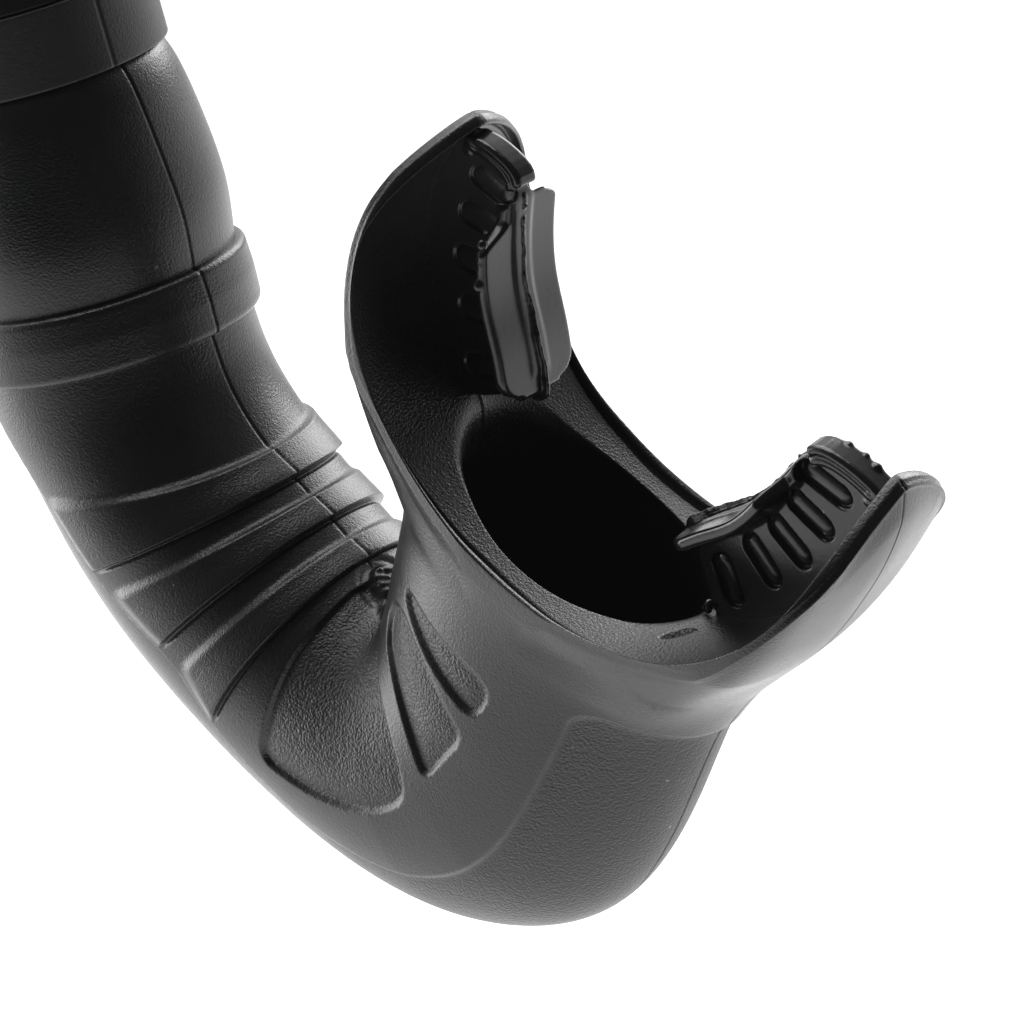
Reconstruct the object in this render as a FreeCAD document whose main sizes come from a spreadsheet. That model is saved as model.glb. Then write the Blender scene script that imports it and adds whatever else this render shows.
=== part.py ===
import FreeCAD, Part
import Sketcher
import math
import os

# A J-type snorkel: a rigid barrel with its collar, the soft moulding pushed over the barrel's lower end, a soft
# guard on its top, and the keeper that holds it to a mask's strap.
#
# The origin is on the barrel's axis, where the collar meets the soft moulding. +Z runs up the barrel, +X points
# from the barrel to the mouthpiece, and Y = 0 is the soft moulding's plane of symmetry. Sizes are in millimetres.
#
# The mouth has a frame of its own in the plane Y = 0: "along" runs across the mouth, from the barrel's side
# outwards, and "out" runs out of the mouthpiece, towards the throat of whoever wears it.

Vector = FreeCAD.Vector
doc = FreeCAD.newDocument("snorkel")
sheet = doc.addObject("Spreadsheet::Sheet", "Sheet")

SIZES = [
    ("barrel_od", 25.0, "outside of the breathing tube"),
    ("barrel_bore", 20.5, "inside of the breathing tube"),
    ("barrel_top", 300.0, "height of the barrel's open end"),
    ("foot_od", 28.2, "thick foot of the barrel, above the collar"),
    ("foot_height", 13.0, "height of the thick foot"),
    ("foot_taper", 8.0, "height of the cone from the foot to the tube"),
    ("spigot_length", 20.0, "length of the barrel inside the soft cuff"),
    ("bead_od", 27.0, "snap bead on the spigot"),
    ("bead_depth", 15.5, "depth of the bead's upper edge below the collar"),
    ("bead_height", 2.4, "height of the snap bead"),
    ("collar_od", 28.9, "outside of the collar"),
    ("collar_height", 8.6, "height of the collar"),
    ("glue_gap", 0.05, "gap between bonded pieces"),
    ("running_gap", 0.08, "radial gap between turning or sliding pieces"),
    ("end_gap", 0.15, "gap between the ends of turning pieces"),
    ("cuff_top_od", 28.0, "cuff just below the collar"),
    ("cuff_shoulder_od", 30.2, "cuff below its rounded shoulder"),
    ("shoulder_depth", 4.7, "depth of the shoulder"),
    ("bulge_od", 32.0, "widest part of the cuff, over the bead"),
    ("waist_od", 30.2, "cuff below the bulge, and the soft tube"),
    ("ring_od", 32.5, "raised ring of the cuff"),
    ("ring_top", 23.8, "depth of the ring's upper edge"),
    ("ring_bottom", 30.5, "depth of the ring's lower edge"),
    ("cuff_depth", 31.5, "depth where the bellows begins"),
    ("soft_wall", 2.6, "wall of the soft moulding"),
    ("mouth_reach", 66.45, "reach of the mouth frame's centre from the barrel's axis"),
    ("mouth_depth", 48.98, "depth of the mouth frame's centre"),
    ("mouth_angle", 42.5, "angle from the barrel's axis to the mouth's axis, in degrees"),
    ("neck_end", 12.0, "distance of the neck's end below the mouth frame's centre"),
    ("neck_half", 21.6, "half length of the neck's oval"),
    ("neck_shift", 1.8, "shift of the neck's oval away from the barrel"),
    ("neck_half_depth", 14.2, "half depth of the neck's oval"),
    ("shield_half", 30.4, "half length of the mouth shield"),
    ("shield_half_depth", 14.0, "half depth of the mouth shield"),
    ("lobe_start", 10.0, "where the shield's lobes begin to narrow"),
    ("lobe_end", 29.4, "where the shield's lobes end"),
    ("opening_half", 15.1, "half length of the mouth opening"),
    ("opening_half_depth", 10.3, "half depth of the mouth opening"),
    ("bite_plate", 2.8, "thickness of the bite plate"),
    ("bite_wall", 1.8, "thickness of the wall behind the teeth"),
    ("bite_wall_height", 11.2, "height of the wall behind the teeth"),
    ("slot_width", 2.0, "width of the grip slots"),
    ("slot_length", 5.6, "length of the grip slots"),
    ("slot_depth", 0.7, "depth of the grip slots"),
    ("guard_od", 27.8, "outside of the tip guard"),
    ("guard_height", 36.0, "length of the tip guard below the barrel's end"),
    ("guard_lip", 2.5, "height of the guard's lip above the barrel's end"),
    ("guard_mouth", 22.0, "opening in the guard's lip"),
    ("keeper_z", 112.0, "middle of the stored keeper"),
    ("sleeve_height", 20.0, "height of the keeper's soft sleeve"),
    ("sleeve_od", 29.4, "sleeve under the ring"),
    ("flange_od", 32.4, "end flanges of the sleeve"),
    ("flange_height", 2.5, "height of each flange"),
    ("keeper_ring_wall", 2.4, "wall of the keeper's ring"),
    ("boss_reach", 22.0, "distance of the boss's face from the barrel's axis"),
    ("boss_width", 12.0, "width and height of the boss"),
    ("pin_diameter", 4.0, "shank of the keeper's pin"),
    ("pin_seat", 4.5, "length of the pin inside the boss"),
    ("pin_head", 8.0, "head of the keeper's pin"),
    ("pin_head_height", 1.6, "height of the pin's head"),
    ("clip_width", 38.0, "clip, across the barrel"),
    ("clip_height", 28.0, "clip, along the barrel"),
    ("clip_thickness", 2.6, "thickness of the clip"),
    ("clip_corner", 6.0, "radius of the clip's corners"),
    ("strap_slot_width", 5.6, "width of each strap slot"),
    ("strap_slot_length", 21.0, "length of each strap slot"),
    ("strap_slot_offset", 11.4, "distance of each strap slot's middle from the pin"),
]
for row, (alias, value, note) in enumerate(SIZES, start=1):
    sheet.set(f"A{row}", note)
    sheet.set(f"B{row}", str(value))
    sheet.setAlias(f"B{row}", alias)
doc.recompute()
size = {alias: float(sheet.get(alias)) for alias, _, _ in SIZES}
subparts = []


# ---- helpers for the pieces that are bound to the sheet

def bound(text):
    """The expression with each size's name read from the sheet."""
    words = text.replace("(", "( ").replace(")", " )").split()
    return " ".join("Sheet." + word if word in size else word for word in words)


def value_of(text):
    """The number that an expression gives now, read through a spare cell of the sheet."""
    sheet.set("D1", "=" + bound(text).replace("Sheet.", ""))
    sheet.recompute()
    return float(sheet.get("D1"))


def turned(label, outline):
    """A body turned about Z from a closed outline of (radius, height) expressions."""
    body = doc.addObject("PartDesign::Body", label)
    sketch = body.newObject("Sketcher::SketchObject", label + "_outline")
    plane = next(part for part in body.Origin.OriginFeatures if part.Role == "XZ_Plane")
    sketch.AttachmentSupport = [(plane, "")]
    sketch.MapMode = "FlatFace"
    corners = [Vector(value_of(radius), value_of(height), 0) for radius, height in outline]
    last = len(corners) - 1
    for number, corner in enumerate(corners):
        sketch.addGeometry(Part.LineSegment(corner, corners[0 if number == last else number + 1]))
    for number in range(len(corners)):
        following = 0 if number == last else number + 1
        sketch.addConstraint(Sketcher.Constraint("Coincident", number, 2, following, 1))
    for number, (texts, corner) in enumerate(zip(outline, corners)):
        for kind, text, value in (("DistanceX", texts[0], corner.x), ("DistanceY", texts[1], corner.y)):
            index = sketch.addConstraint(Sketcher.Constraint(kind, -1, 1, number, 1, value))
            sketch.setExpression(f"Constraints[{index}]", bound(text))
    turn = body.newObject("PartDesign::Revolution", label + "_turn")
    turn.Profile = sketch
    turn.ReferenceAxis = (sketch, ["V_Axis"])
    turn.Angle = 360
    body.Tip = turn
    subparts.append(body)
    return body


def primitive(kind, name, **bindings):
    """A Part primitive whose sizes and place are expressions. x, y and z give its place."""
    feature = doc.addObject("Part::" + kind, name)
    for key, text in bindings.items():
        target = ".Placement.Base." + key if key in ("x", "y", "z") else key
        feature.setExpression(target, bound(text))
    return feature


def along_x(feature):
    """Lays a cylinder along +X."""
    feature.Placement.Rotation = FreeCAD.Rotation(Vector(0, 1, 0), 90)
    return feature


def joined(name, *features):
    fuse = doc.addObject("Part::MultiFuse", name)
    fuse.Shapes = list(features)
    return fuse


def cut(name, base, *tools):
    for number, tool in enumerate(tools):
        result = doc.addObject("Part::Cut", name if number == len(tools) - 1 else f"{name}_{number}")
        result.Base = base
        result.Tool = tool
        base = result
    return base


# ---- barrel

def barrel_tube():
    return turned("barrel_tube", [
        ("barrel_bore / 2", "0 - spigot_length"),
        ("barrel_od / 2", "0 - spigot_length"),
        ("barrel_od / 2", "0 - bead_depth - bead_height"),
        ("bead_od / 2", "0 - bead_depth - bead_height / 2"),
        ("bead_od / 2", "0 - bead_depth - bead_height / 4"),
        ("barrel_od / 2", "0 - bead_depth"),
        ("barrel_od / 2", "collar_height + glue_gap"),
        ("foot_od / 2", "collar_height + glue_gap"),
        ("foot_od / 2", "collar_height + foot_height"),
        ("barrel_od / 2", "collar_height + foot_height + foot_taper"),
        ("barrel_od / 2", "barrel_top"),
        ("barrel_bore / 2", "barrel_top"),
    ])


def lock_collar():
    return turned("lock_collar", [
        ("barrel_od / 2 + glue_gap", "0"),
        ("collar_od / 2", "0"),
        ("collar_od / 2", "collar_height"),
        ("barrel_od / 2 + glue_gap", "collar_height"),
    ])


def tip_guard():
    return turned("tip_guard", [
        ("barrel_od / 2 + glue_gap", "barrel_top - guard_height"),
        ("guard_od / 2 - 0.8", "barrel_top - guard_height"),
        ("guard_od / 2", "barrel_top - guard_height + 1.5"),
        ("guard_od / 2", "barrel_top + guard_lip - 1"),
        ("guard_od / 2 - 1", "barrel_top + guard_lip"),
        ("guard_mouth / 2", "barrel_top + guard_lip"),
        ("guard_mouth / 2", "barrel_top + glue_gap"),
        ("barrel_od / 2 + glue_gap", "barrel_top + glue_gap"),
    ])


# ---- soft moulding: the turned cuff

def elbow_cuff():
    return turned("elbow_cuff", [
        ("barrel_od / 2 + running_gap", "0 - end_gap"),
        ("cuff_top_od / 2", "0 - end_gap"),
        ("cuff_shoulder_od / 2", "0 - shoulder_depth"),
        ("bulge_od / 2 - 0.3", "0 - shoulder_depth - 6"),
        ("bulge_od / 2", "0 - bead_depth - bead_height / 2"),
        ("waist_od / 2", "0 - ring_top"),
        ("ring_od / 2", "0 - ring_top"),
        ("ring_od / 2", "0 - ring_bottom"),
        ("waist_od / 2", "0 - ring_bottom"),
        ("waist_od / 2", "0 - cuff_depth"),
        ("waist_od / 2 - soft_wall", "0 - cuff_depth"),
        ("waist_od / 2 - soft_wall", "0 - spigot_length - 2 * end_gap - 2"),
        ("barrel_bore / 2", "0 - spigot_length - 2 * end_gap"),
        ("barrel_od / 2 + running_gap", "0 - spigot_length - 2 * end_gap"),
        ("barrel_od / 2 + running_gap", "0 - bead_depth - bead_height"),
        ("bead_od / 2 + running_gap", "0 - bead_depth - bead_height / 2"),
        ("bead_od / 2 + running_gap", "0 - bead_depth - bead_height / 4"),
        ("barrel_od / 2 + running_gap", "0 - bead_depth"),
    ])


# ---- soft moulding: the lofted bend, neck and shield, which no sketch feature makes as one smooth skin

def mouth(along, out, y=0.0):
    """A point given in the mouth's frame."""
    turn = math.radians(size["mouth_angle"])
    x = size["mouth_reach"] + along * math.cos(turn) + out * math.sin(turn)
    z = -size["mouth_depth"] - along * math.sin(turn) + out * math.cos(turn)
    return Vector(x, y, z)


def mouth_direction(along, out):
    return mouth(along, out) - mouth(0, 0)


def loop(centre, reach, half_depth, square=0.0, bow=0.0, points=24):
    """A closed section about centre. reach points to its inner side. It is an ellipse with square 0 and nearly a
    rectangle with square 1, and bow draws its ends in towards its edges."""
    corners = []
    for number in range(points):
        turn = 2 * math.pi * number / points
        across, deep = math.cos(turn), math.sin(turn)
        corner = (abs(across) ** 9 + abs(deep) ** 9) ** (-1 / 9)
        swell = 1 + (corner - 1) * square
        across *= swell * (1 - bow * (deep * swell) ** 2)
        corners.append(centre + reach * across + Vector(0, half_depth * deep * swell, 0))
    curve = Part.BSplineCurve()
    curve.interpolate(corners, PeriodicFlag=True)
    return Part.Wire(curve.toShape())


def station(inner, outer, half_depth, inset=0.0):
    """A section of the bend between a point of its inner line and a point of its outer line."""
    centre = (inner + outer) / 2
    reach = (inner - outer) / 2
    reach = reach * (1 - inset / reach.Length)
    return loop(centre, reach, half_depth - inset)


WAIST = size["waist_od"] / 2
NECK_SIDES = [mouth(size["neck_shift"] + side * size["neck_half"], -size["neck_end"]) for side in (-1, 1)]
BEND = [
    (Vector(WAIST, 0, -size["cuff_depth"]), Vector(-WAIST, 0, -size["cuff_depth"]), WAIST),
    (Vector(15.7, 0, -37.2), Vector(-12.9, 0, -40.2), 14.9),
    (Vector(18.6, 0, -43.0), Vector(-10.4, 0, -48.9), 14.9),
    (Vector(24.0, 0, -49.6), Vector(-5.4, 0, -61.5), 14.8),
    (Vector(29.3, 0, -56.2), Vector(4.6, 0, -75.2), 14.8),
    (Vector(33.2, 0, -60.4), Vector(19.6, 0, -89.1), 14.9),
    (Vector(34.6, 0, -60.6), Vector(36.8, 0, -97.0), 15.1),
    (Vector(35.8, 0, -59.2), Vector(51.7, 0, -96.0), 14.9),
    (Vector(37.6, 0, -55.9), Vector(62.8, 0, -87.6), 14.5),
    (Vector(40.2, 0, -50.9), Vector(70.4, 0, -79.2), 14.3),
    (NECK_SIDES[0], NECK_SIDES[1], size["neck_half_depth"]),
]
BELLOWS_END = 4


def tube(stations):
    """A hollow bent tube through its stations."""
    outside = Part.makeLoft([station(*place) for place in stations], True)
    inside = Part.makeLoft([station(*place, inset=size["soft_wall"]) for place in stations], True)
    return outside.cut(inside)


def mouth_loop(out, half, half_depth, shift=0.0, square=0.0, bow=0.0):
    return loop(mouth(shift, out), mouth_direction(-half, 0), half_depth, square, bow, 36)


def shield_line():
    """The inner face of the shield in the plane of symmetry, from one lobe's end to the other's."""
    half = [(0, -4.9), (14, -2.1), (25.4, 7.5), (30.1, 19), (28.1, 31), (26.4, 40)]
    line = [(-along, out) for along, out in reversed(half[1:])] + half
    curve = Part.BSplineCurve()
    curve.interpolate([mouth(along, out) for along, out in line])
    return curve


def inside_of_shield():
    """The space between the shield's lobes, as a block as deep as the whole moulding."""
    line = shield_line()
    deep = Vector(0, 20, 0)
    closing = Part.LineSegment(line.EndPoint, line.StartPoint)
    face = Part.Face(Part.Wire([line.toShape(), closing.toShape()]))
    face.translate(-deep)
    return face.extrude(2 * deep)


def lobe_outline():
    """The shield seen from its end: full depth, then rounded off at the tips of the lobes."""
    half_depth, length = size["shield_half_depth"] + 0.3, size["lobe_end"] - size["lobe_start"]
    steps = [number / 12 for number in range(13)]
    side = [(half_depth * (1 - step ** 1.9) ** (1 / 1.3), size["lobe_start"] + length * step) for step in steps]
    points = [(half_depth, -20)] + side[:-1] + [(-y, out) for y, out in reversed(side[:-1])] + [(-half_depth, -20)]
    wire = Part.makePolygon([mouth(-40, out, y) for y, out in points + points[:1]])
    return Part.Face(wire).extrude(mouth_direction(80, 0))


def mouth_passage():
    inset = size["soft_wall"]
    neck = mouth_loop(-size["neck_end"], size["neck_half"] - inset, size["neck_half_depth"] - inset,
                      size["neck_shift"])
    opening = [mouth_loop(out, size["opening_half"], size["opening_half_depth"]) for out in (-6, 4)]
    return Part.makeLoft([neck] + opening, True)


def mouth_shield():
    half, deep = size["shield_half"], size["shield_half_depth"]
    outside = Part.makeLoft([
        mouth_loop(-size["neck_end"], size["neck_half"], size["neck_half_depth"], size["neck_shift"]),
        mouth_loop(-5, half - 5.0, deep + 0.6, 0.4, 0.5),
        mouth_loop(4.5, half - 1.2, deep + 1.4, 0, 0.95, 0.05),
        mouth_loop(12, half + 0.4, deep + 1.6, 0, 1, 0.06),
        mouth_loop(20, half + 1.2, deep + 1.5, 0, 1, 0.04),
        mouth_loop(33, half - 0.8, deep + 1.5, 0, 1, 0.04),
    ], True)
    return outside.cut(inside_of_shield()).common(lobe_outline()).cut(mouth_passage())


# ---- soft moulding: the bite tabs, drawn on the outer lobe and mirrored for the one beside the barrel

WALL_LINE = [(10.9, 6.6), (13.7, 10.7), (16.7, 14.4), (18.9, 18.6), (20.4, 23.1)]
PLATE_END = [(22.2, 26.2), (26.0, 27.4), (33.0, 26.4)]
PLATE_FRONT = [(34.0, 8.0), (24.0, -3.0), (17.6, -1.0)]
GRIP_SLOTS = [(17.0, 5.1, 51), (19.9, 9.8, 32), (21.9, 14.1, 21), (23.1, 18.5, 12), (23.6, 22.9, 5)]


def prism(points, side, thickness):
    """A flat piece of the given thickness about Y = 0, from points in the mouth's frame on one side of it."""
    corners = [mouth(side * along, out, -thickness / 2) for along, out in points]
    return Part.Face(Part.makePolygon(corners + corners[:1])).extrude(Vector(0, thickness, 0))


def slot_cutter(along, out, tilt, side, top):
    """A round-ended slot, cut into the plate's face at height top."""
    radius, straight = size["slot_width"] / 2, size["slot_length"] - size["slot_width"]
    turn = math.radians(tilt)
    half = mouth_direction(side * straight / 2 * math.cos(turn), -straight / 2 * math.sin(turn))
    centre = mouth(side * along, out, top)
    aside = Vector(half.z, 0, -half.x).normalize() * radius
    block = Part.Face(Part.makePolygon([centre + half + aside, centre - half + aside, centre - half - aside,
                                        centre + half - aside, centre + half + aside]))
    block = block.extrude(Vector(0, 2 * size["slot_depth"], 0))
    ends = [Part.makeCylinder(radius, 2 * size["slot_depth"], centre + reach, Vector(0, 1, 0))
            for reach in (half, -half)]
    return block.fuse(ends).translated(Vector(0, -size["slot_depth"], 0))


def bite_tab(side, shield):
    """A bite plate with its grip slots and, along its inner edge, the wall that sits behind the teeth."""
    thickness = size["bite_wall"]
    outer_line = [(along + 0.86 * thickness, out - 0.5 * thickness) for along, out in WALL_LINE]
    wall = prism(WALL_LINE + list(reversed(outer_line)), side, size["bite_wall_height"])
    plate = prism(WALL_LINE + PLATE_END + PLATE_FRONT, side, size["bite_plate"])
    tab = wall.fuse(plate).removeSplitter().cut(shield)
    face = size["bite_plate"] / 2
    cutters = [slot_cutter(*slot, side, top) for slot in GRIP_SLOTS for top in (-face, face)]
    tab = tab.cut(cutters)
    return max(tab.Solids, key=lambda solid: solid.Volume)


def moulded(label, shape):
    feature = doc.addObject("Part::Feature", label)
    feature.Shape = shape
    feature.Placement = FreeCAD.Placement()
    subparts.append(feature)
    return feature


# ---- keeper

def keeper_sleeve():
    low, high = "keeper_z - sleeve_height / 2", "keeper_z + sleeve_height / 2"
    return turned("keeper_sleeve", [
        ("barrel_od / 2 + running_gap", low),
        ("flange_od / 2", low),
        ("flange_od / 2", low + " + flange_height"),
        ("sleeve_od / 2", low + " + flange_height"),
        ("sleeve_od / 2", high + " - flange_height"),
        ("flange_od / 2", high + " - flange_height"),
        ("flange_od / 2", high),
        ("barrel_od / 2 + running_gap", high),
    ])


def keeper_ring():
    height = "sleeve_height - 2 * flange_height - 2 * end_gap"
    low = "keeper_z - sleeve_height / 2 + flange_height + end_gap"
    band = primitive("Cylinder", "ring_band", Radius="sleeve_od / 2 + running_gap + keeper_ring_wall",
                     Height=height, z=low)
    boss = primitive("Box", "ring_boss", Length="boss_reach", Width="boss_width", Height="boss_width",
                     y="0 - boss_width / 2", z="keeper_z - boss_width / 2")
    hole = primitive("Cylinder", "ring_hole", Radius="sleeve_od / 2 + running_gap", Height="sleeve_height",
                     z="keeper_z - sleeve_height / 2")
    seat = along_x(primitive("Cylinder", "ring_pin_seat", Radius="pin_diameter / 2 + glue_gap",
                             Height="pin_seat + 1", x="boss_reach - pin_seat - glue_gap", z="keeper_z"))
    ring = cut("keeper_ring", joined("ring_body", band, boss), hole, seat)
    subparts.append(ring)
    return ring


def keeper_pin():
    shank = along_x(primitive("Cylinder", "pin_shank", Radius="pin_diameter / 2", x="boss_reach - pin_seat",
                              Height="pin_seat + 2 * end_gap + clip_thickness + pin_head_height / 2",
                              z="keeper_z"))
    head = along_x(primitive("Cylinder", "pin_disc", Radius="pin_head / 2", Height="pin_head_height",
                             x="boss_reach + 2 * end_gap + clip_thickness", z="keeper_z"))
    pin = joined("keeper_pin", shank, head)
    subparts.append(pin)
    return pin


def keeper_clip():
    plate = primitive("Box", "clip_plate", Length="clip_thickness", Width="clip_width", Height="clip_height",
                      x="boss_reach + end_gap", y="0 - clip_width / 2", z="keeper_z - clip_height / 2")
    doc.recompute()
    rounded = doc.addObject("Part::Fillet", "clip_rounded")
    rounded.Base = plate
    corners = [number for number, edge in enumerate(plate.Shape.Edges, start=1)
               if abs(edge.tangentAt(edge.FirstParameter).x) > 0.9]
    rounded.Edges = [(number, size["clip_corner"], size["clip_corner"]) for number in corners]
    slots = [primitive("Box", f"clip_slot_{name}", Length="clip_thickness + 2", Width="strap_slot_width",
                       Height="strap_slot_length", x="boss_reach + end_gap - 1",
                       y=f"{sign} strap_slot_offset - strap_slot_width / 2",
                       z="keeper_z - strap_slot_length / 2")
             for name, sign in (("left", "0 -"), ("right", "0 +"))]
    hole = along_x(primitive("Cylinder", "clip_hole", Radius="pin_diameter / 2 + running_gap",
                             Height="clip_thickness + 2", x="boss_reach + end_gap - 1", z="keeper_z"))
    clip = cut("keeper_clip", rounded, *slots, hole)
    subparts.append(clip)
    return clip


# ---- the whole snorkel

barrel_tube()
lock_collar()
tip_guard()
elbow_cuff()
moulded("flex_bellows", tube(BEND[:BELLOWS_END + 1]))
moulded("elbow_bend", tube(BEND[BELLOWS_END:]))
shield_shape = mouth_shield()
moulded("mouth_shield", shield_shape)
moulded("bite_tab_outer", bite_tab(1, shield_shape))
moulded("bite_tab_inner", bite_tab(-1, shield_shape))
keeper_sleeve()
keeper_ring()
keeper_pin()
keeper_clip()
sheet.clear("D1")
doc.recompute()

for thing in doc.Objects:
    faults = {"Invalid", "Error"} & set(thing.State)
    if faults:
        raise RuntimeError(f"{thing.Name} is {faults}")
os.makedirs("parts", exist_ok=True)
for subpart in subparts:
    shape = subpart.Shape
    if shape.isNull() or not shape.isValid() or not shape.Solids:
        raise RuntimeError(f"{subpart.Label} has no valid solid")
    shape.exportStep(f"parts/{subpart.Label}.step")
    box = shape.BoundBox
    print(f"{subpart.Label}: {shape.Volume:.0f} mm3, {len(shape.Solids)} solid(s), "
          f"x {box.XMin:.1f} to {box.XMax:.1f}, y {box.YMin:.1f} to {box.YMax:.1f}, "
          f"z {box.ZMin:.1f} to {box.ZMax:.1f}")
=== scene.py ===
import math
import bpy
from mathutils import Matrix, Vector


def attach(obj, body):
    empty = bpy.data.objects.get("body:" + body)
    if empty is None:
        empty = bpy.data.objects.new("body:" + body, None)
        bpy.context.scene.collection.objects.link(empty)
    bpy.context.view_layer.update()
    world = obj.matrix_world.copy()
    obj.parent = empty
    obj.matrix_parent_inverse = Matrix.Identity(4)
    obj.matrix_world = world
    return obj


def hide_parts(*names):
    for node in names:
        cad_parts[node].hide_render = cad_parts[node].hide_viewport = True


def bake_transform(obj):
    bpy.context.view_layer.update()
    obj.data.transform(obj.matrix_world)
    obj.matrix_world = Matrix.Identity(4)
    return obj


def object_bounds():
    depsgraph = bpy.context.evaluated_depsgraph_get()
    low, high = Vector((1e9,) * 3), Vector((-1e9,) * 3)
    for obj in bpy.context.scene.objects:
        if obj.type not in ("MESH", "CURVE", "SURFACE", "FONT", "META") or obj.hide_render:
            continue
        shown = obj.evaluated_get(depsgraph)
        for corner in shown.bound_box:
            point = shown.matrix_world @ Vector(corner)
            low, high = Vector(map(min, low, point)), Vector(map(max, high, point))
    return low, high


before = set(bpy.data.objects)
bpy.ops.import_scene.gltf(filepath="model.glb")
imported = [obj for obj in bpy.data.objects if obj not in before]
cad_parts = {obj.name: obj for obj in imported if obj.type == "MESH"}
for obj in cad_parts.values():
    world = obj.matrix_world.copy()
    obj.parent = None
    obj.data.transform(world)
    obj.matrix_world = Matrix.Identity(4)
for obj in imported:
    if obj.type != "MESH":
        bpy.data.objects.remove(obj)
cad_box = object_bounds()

from types import SimpleNamespace

import bpy
import numpy as np
import openvdb
from mathutils import Matrix, Vector

# Lengths below are in millimetres in the part's frame, and become metres when a mesh is made.
# The soft moulding is one grid of rows and columns. A row is a closed section of it, and column 0 runs along
# its inner side, which faces the mouthpiece. The mouth's frame has "along" across the mouth and "out" towards
# the throat, as in the CAD part.

MM = 0.001
COLUMNS = 512
SOFT_WALL = 2.6
WAIST = 15.05
MOUTH_CENTRE = np.array([66.45, 0.0, -48.98])
MOUTH_ANGLE = math.radians(42.5)
ALONG = np.array([math.cos(MOUTH_ANGLE), 0.0, -math.sin(MOUTH_ANGLE)])
OUT = np.array([math.sin(MOUTH_ANGLE), 0.0, math.cos(MOUTH_ANGLE)])
ACROSS = np.array([0.0, 1.0, 0.0])


# ---- numbers

def smooth(low, high, x):
    t = np.clip((np.asarray(x, float) - low) / (high - low), 0, 1)
    return t * t * (3 - 2 * t)


def spline(knots, values, at):
    """A natural cubic through values at knots, read at each place in at."""
    knots, at = np.asarray(knots, float), np.asarray(at, float)
    values = np.asarray(values, float).reshape(len(knots), -1)
    gap, count = np.diff(knots), len(knots)
    matrix, right = np.zeros((count, count)), np.zeros_like(values)
    matrix[0, 0] = matrix[-1, -1] = 1
    for i in range(1, count - 1):
        matrix[i, i - 1:i + 2] = gap[i - 1], 2 * (gap[i - 1] + gap[i]), gap[i]
        right[i] = 6 * ((values[i + 1] - values[i]) / gap[i] - (values[i] - values[i - 1]) / gap[i - 1])
    bend = np.linalg.solve(matrix, right)
    i = np.clip(np.searchsorted(knots, at, side="right") - 1, 0, count - 2)
    a, b, h = (at - knots[i])[:, None], (knots[i + 1] - at)[:, None], gap[i][:, None]
    return ((bend[i] * b ** 3 + bend[i + 1] * a ** 3) / (6 * h)
            + (values[i] / h - bend[i] * h / 6) * b + (values[i + 1] / h - bend[i + 1] * h / 6) * a)


def lengths(points):
    """How far along its line each point is."""
    steps = np.linalg.norm(np.diff(points, axis=0), axis=1)
    return np.concatenate([[0], np.cumsum(steps)])


def fine_line(points, count=1500):
    """A smooth line through the points, as many close points with their lengths."""
    points = np.asarray(points, float)
    knots = lengths(points)
    line = spline(knots, points, np.linspace(0, knots[-1], count))
    return line, lengths(line)


def nearest(line, point):
    return int(np.argmin(((line - np.asarray(point)) ** 2).sum(1)))


def outline_distance(x, y, corners):
    """Distance from a closed outline, positive inside."""
    corners = np.asarray(corners, float)
    best, inside = np.full(np.shape(x), 1e9), np.zeros(np.shape(x), bool)
    for (ax, ay), (bx, by) in zip(corners, np.roll(corners, -1, axis=0)):
        dx, dy = bx - ax, by - ay
        t = np.clip(((x - ax) * dx + (y - ay) * dy) / (dx * dx + dy * dy), 0, 1)
        best = np.minimum(best, (x - ax - t * dx) ** 2 + (y - ay - t * dy) ** 2)
        if ay != by:
            crosses = ((ay > y) != (by > y)) & (x < dx * (y - ay) / dy + ax)
            inside ^= crosses
    return np.where(inside, 1, -1) * np.sqrt(best)


def eased_outline(corners, times=2):
    """A closed outline with its corners cut smooth."""
    corners = np.asarray(corners, float)
    for _ in range(times):
        following = np.roll(corners, -1, axis=0)
        cut = [0.75 * corners + 0.25 * following, 0.25 * corners + 0.75 * following]
        corners = np.stack(cut, 1).reshape(-1, 2)
    return corners


def wobble(x, seed, waves=5):
    """A repeatable uneven line between about -1 and 1."""
    random = np.random.default_rng(seed)
    total = np.zeros(np.shape(x))
    for wave in range(waves):
        turn = x * random.uniform(0.6, 1.4) * 1.7 ** wave + random.uniform(0, 6.3)
        total += np.sin(turn) / (1 + 0.5 * wave)
    return total / 2.2


def rounded_profile(corners, radius, step):
    """Points along a line of straight runs whose corners are rounded."""
    corners = [np.asarray(c, float) for c in corners]
    points = [corners[0]]
    for before, corner, after in zip(corners, corners[1:], corners[2:]):
        into, away = corner - before, after - corner
        reach = min(radius, 0.45 * np.linalg.norm(into), 0.45 * np.linalg.norm(away))
        start = corner - into / np.linalg.norm(into) * reach
        end = corner + away / np.linalg.norm(away) * reach
        for t in np.linspace(0, 1, 6):
            points.append((1 - t) ** 2 * start + 2 * t * (1 - t) * corner + t * t * end)
    points.append(corners[-1])
    full = [points[0]]
    for point in points[1:]:
        pieces = max(1, int(np.ceil(np.linalg.norm(point - full[-1]) / step)))
        full += [full[-1] + (point - full[-1]) * n / pieces for n in range(1, pieces + 1)]
    return np.array(full)


# ---- meshes

def new_piece(name, vertices, faces, body, nodes, marks=None):
    """A smooth piece from vertices in millimetres. marks are numbers on its vertices for its material."""
    mesh = bpy.data.meshes.new(name)
    mesh.from_pydata((np.asarray(vertices) * MM).tolist(), [], np.asarray(faces).tolist())
    mesh.update()
    mesh.shade_smooth()
    for mark, values in (marks or {}).items():
        attribute = mesh.attributes.new(mark, "FLOAT", "POINT")
        attribute.data.foreach_set("value", np.asarray(values, np.float32).ravel())
    piece = bpy.data.objects.new(name, mesh)
    bpy.context.scene.collection.objects.link(piece)
    if body:
        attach(piece, body)
    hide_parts(*nodes)
    return piece


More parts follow.
